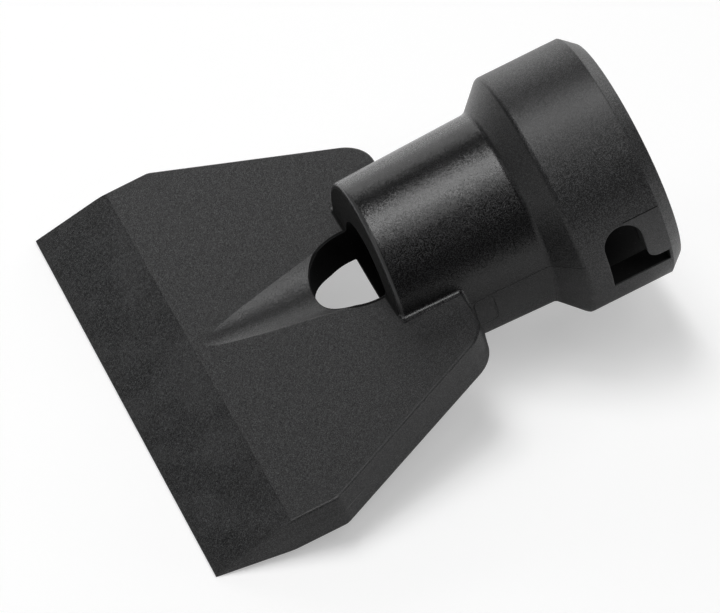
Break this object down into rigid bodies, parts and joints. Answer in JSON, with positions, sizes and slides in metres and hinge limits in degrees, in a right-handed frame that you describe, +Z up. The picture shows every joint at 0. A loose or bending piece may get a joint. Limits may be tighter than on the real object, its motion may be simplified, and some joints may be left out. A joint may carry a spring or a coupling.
{
  "type": "vacuum scraper nozzle",
  "caption": "Moulded scraper nozzle: a bevelled spade-shaped blade with a grooved suction hole, on a round neck that widens to a bayonet socket for a vacuum wand.",
  "frame": {"origin": "on the ground, under the middle of the part's box, as it lies on its scraping edge and mouth", "axes": "+X from the scraping edge towards the socket along the ground, +Y across the blade, +Z up"},
  "size_m": [0.1004, 0.0992, 0.053],
  "materials": {
    "black_plastic": "fine moulded grain"
  },
  "bodies": {
    "root": {"scraper_nozzle": "black_plastic"}
  },
  "joints": []
}
